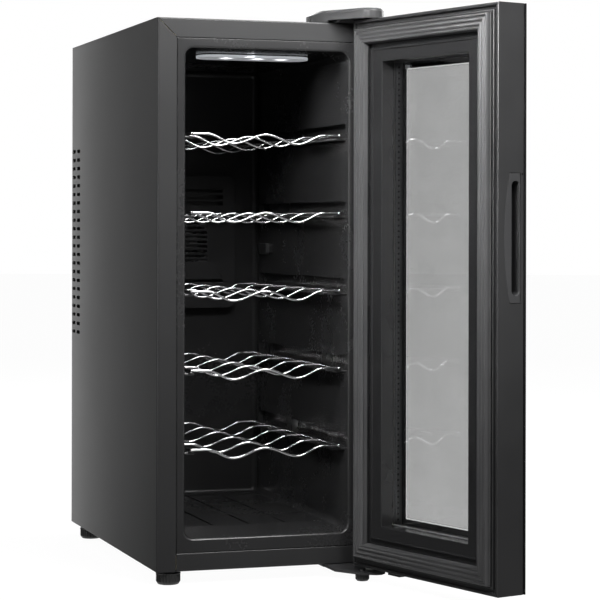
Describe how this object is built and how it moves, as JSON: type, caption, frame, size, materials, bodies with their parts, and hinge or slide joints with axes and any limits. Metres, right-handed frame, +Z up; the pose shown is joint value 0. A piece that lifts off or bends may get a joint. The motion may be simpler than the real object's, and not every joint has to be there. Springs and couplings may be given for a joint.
{
  "type": "wine cooler",
  "caption": "Slim free-standing wine cooler with a glazed door on right-hand hinges, wavy wire bottle racks that slide out and a thermoelectric unit blown by fans in its back.",
  "frame": {"origin": "under the middle of the whole object with its door open, on the floor", "axes": "+Z up, -Y out of the cabinet's front, +X towards the hinges"},
  "size_m": [0.3336, 0.7068, 0.6516],
  "materials": {
    "painted_sheet": "satin black paint",
    "black_plastic": "glossy black",
    "matt_plastic": "fine-grained black",
    "soft_rubber": "soft, matt",
    "bright_wire": "bright plated wire",
    "plated_steel": "zinc plated",
    "raw_aluminium": "raw extruded",
    "clear_glass": "clear, with a black border on the outer pane",
    "lamp_lens": "clear lens",
    "white_foam": "rigid foam",
    "circuit_green": "circuit board",
    "white_ceramic": "white, matt"
  },
  "bodies": {
    "cabinet": {"left_side_panel": "painted_sheet", "right_side_panel": "painted_sheet", "top_panel": "painted_sheet", "base_pan": "painted_sheet", "front_rail": "painted_sheet", "rear_cover": "painted_sheet", "inner_liner": "black_plastic", "fan_duct_cover": "black_plastic", "power_inlet": "black_plastic", "temperature_sensor": "matt_plastic", "inner_fan_frame": "matt_plastic", "rear_fan_frame": "matt_plastic", "hinge_cover": "matt_plastic", "rear_left_foot": "soft_rubber", "rear_right_foot": "soft_rubber", "upper_hinge_plate": "plated_steel", "upper_hinge_pin": "plated_steel", "upper_hinge_screw_1": "plated_steel", "upper_hinge_screw_2": "plated_steel", "lower_hinge_plate": "plated_steel", "lower_hinge_pin": "plated_steel", "lower_hinge_screw_1": "plated_steel", "lower_hinge_screw_2": "plated_steel", "cold_sink": "raw_aluminium", "cold_block": "raw_aluminium", "hot_sink": "raw_aluminium", "lamp_lens": "lamp_lens", "insulation_foam": "white_foam", "lamp_board": "circuit_green", "power_board": "circuit_green", "thermoelectric_module": "white_ceramic", "lower_hinge_washer": "white_ceramic"},
    "door": {"door_outer_frame": "matt_plastic", "door_inner_frame": "black_plastic", "door_foam": "white_foam", "outer_glass": "clear_glass", "inner_glass": "clear_glass", "glass_spacer": "raw_aluminium", "door_gasket": "soft_rubber", "hand_grip": "matt_plastic", "upper_bushing": "white_ceramic", "lower_bushing": "white_ceramic", "door_stop": "matt_plastic", "touch_board": "circuit_green"},
    "rack_1_body": {"rack_1": "bright_wire"},
    "rack_2_body": {"rack_2": "bright_wire"},
    "rack_3_body": {"rack_3": "bright_wire"},
    "rack_4_body": {"rack_4": "bright_wire"},
    "rack_5_body": {"rack_5": "bright_wire"},
    "inner_fan": {"inner_fan_rotor": "matt_plastic"},
    "rear_fan": {"rear_fan_rotor": "matt_plastic"},
    "left_foot": {"front_left_foot": "soft_rubber"},
    "right_foot": {"front_right_foot": "soft_rubber"}
  },
  "joints": [
    {"name": "door_hinge", "type": "hinge", "parent": "cabinet", "child": "door", "pos_m": [0.07971, -0.11136, 0.326], "axis": [0, 0, 1], "range_deg": [-105.5, 14.5]},
    {"name": "rack_1_slide", "type": "slide", "parent": "cabinet", "child": "rack_1_body", "axis": [0, -1, 0], "range_m": [0, 0.25]},
    {"name": "rack_2_slide", "type": "slide", "parent": "cabinet", "child": "rack_2_body", "axis": [0, -1, 0], "range_m": [0, 0.25]},
    {"name": "rack_3_slide", "type": "slide", "parent": "cabinet", "child": "rack_3_body", "axis": [0, -1, 0], "range_m": [0, 0.25]},
    {"name": "rack_4_slide", "type": "slide", "parent": "cabinet", "child": "rack_4_body", "axis": [0, -1, 0], "range_m": [0, 0.25]},
    {"name": "rack_5_slide", "type": "slide", "parent": "cabinet", "child": "rack_5_body", "axis": [0, -1, 0], "range_m": [0, 0.25]},
    {"name": "inner_fan_spin", "type": "hinge", "parent": "cabinet", "child": "inner_fan", "pos_m": [-0.03682, 0.25471, 0.383], "axis": [0, 1, 0], "continuous": true},
    {"name": "rear_fan_spin", "type": "hinge", "parent": "cabinet", "child": "rear_fan", "pos_m": [-0.03682, 0.33821, 0.383], "axis": [0, 1, 0], "continuous": true},
    {"name": "left_foot_screw", "type": "slide", "parent": "cabinet", "child": "left_foot", "axis": [0, 0, -1], "range_m": [0, 0.006]},
    {"name": "right_foot_screw", "type": "slide", "parent": "cabinet", "child": "right_foot", "axis": [0, 0, -1], "range_m": [0, 0.006]}
  ]
}
